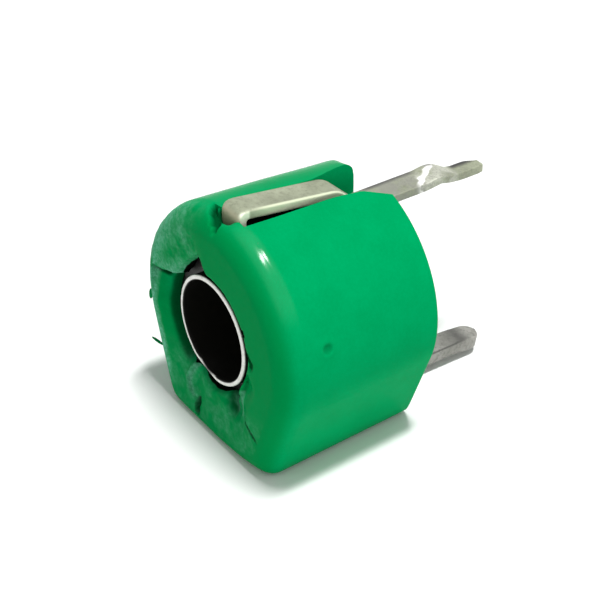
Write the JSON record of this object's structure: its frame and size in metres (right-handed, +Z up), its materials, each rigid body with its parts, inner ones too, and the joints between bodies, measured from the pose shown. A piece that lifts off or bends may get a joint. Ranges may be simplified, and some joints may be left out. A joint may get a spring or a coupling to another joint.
{
  "type": "trimmer capacitor",
  "caption": "Small adjustable through-hole capacitor: round moulded case with a foot, hollow turning sleeve for a driver, and two flat tinned solder pins.",
  "frame": {"origin": "on the turning axis, in the seating face that the two pins leave", "axes": "+Y along the turning axis, out of the seating face with the pins; +Z up from the flat of the foot; +X to the right when facing the adjusting face, with the part lying on its foot"},
  "size_m": [0.006, 0.0077, 0.0064],
  "materials": {
    "case_plastic": "moulded green plastic, lightly glossy, rough where the lip was heat-swaged",
    "tinned_strap": "dull tinned sheet",
    "tinned_pin": "dull grey tinned sheet",
    "washer_metal": "plain stamped washer",
    "spring_metal": "spring bronze, satin",
    "sleeve_metal": "bright plated rim, blackened inside",
    "plate_metal": "plated sheet, dulled",
    "disc_ceramic": "lapped ceramic"
  },
  "bodies": {
    "housing": {"case": "case_plastic", "rotor_terminal": "tinned_strap", "stator_terminal": "tinned_pin", "thrust_washer": "washer_metal", "spring_washer": "spring_metal"},
    "rotor": {"rotor_sleeve": "sleeve_metal", "rotor_plate": "plate_metal", "ceramic_disc": "disc_ceramic"}
  },
  "joints": [
    {"name": "rotor_turn", "type": "hinge", "parent": "housing", "child": "rotor", "pos_m": [0, -0.002, 0], "axis": [0, -1, 0], "continuous": true}
  ]
}
